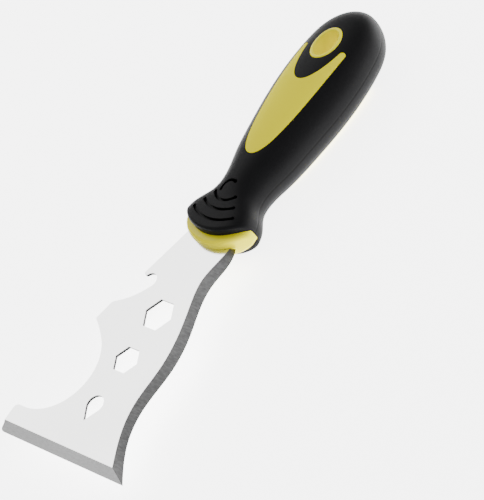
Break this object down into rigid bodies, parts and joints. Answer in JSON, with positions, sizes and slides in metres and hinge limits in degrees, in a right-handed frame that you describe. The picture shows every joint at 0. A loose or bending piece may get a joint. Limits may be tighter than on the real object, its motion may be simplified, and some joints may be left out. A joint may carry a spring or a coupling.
{
  "type": "painter's multi tool",
  "caption": "Flat steel painter's multi tool with scraper edge, curved spreader, roller crescent, bottle opener, hex sockets and nail puller, on a soft black and yellow handle with a hang hole.",
  "frame": {"origin": "bottom centre of the part's box, with the tool lying on the rear of its handle", "axes": "+X along the tool from the scraping edge to the butt, +Y towards the roller-cleaning side, +Z out of the front face"},
  "size_m": [0.2196, 0.0762, 0.0264],
  "materials": {
    "stainless_steel": "polished",
    "yellow_hard_plastic": "glossy",
    "yellow_matte_plastic": "matte",
    "black_soft_grip": "matte",
    "rivet_steel": "satin"
  },
  "bodies": {
    "root": {"blade": "stainless_steel", "collar": "yellow_hard_plastic", "core_front_half": "yellow_hard_plastic", "core_rear_half": "yellow_hard_plastic", "grip_overmould": "black_soft_grip", "front_inlay": "yellow_matte_plastic", "rear_inlay": "yellow_matte_plastic", "hang_hole_eyelet": "yellow_hard_plastic", "tang_rivets": "rivet_steel"}
  },
  "joints": []
}
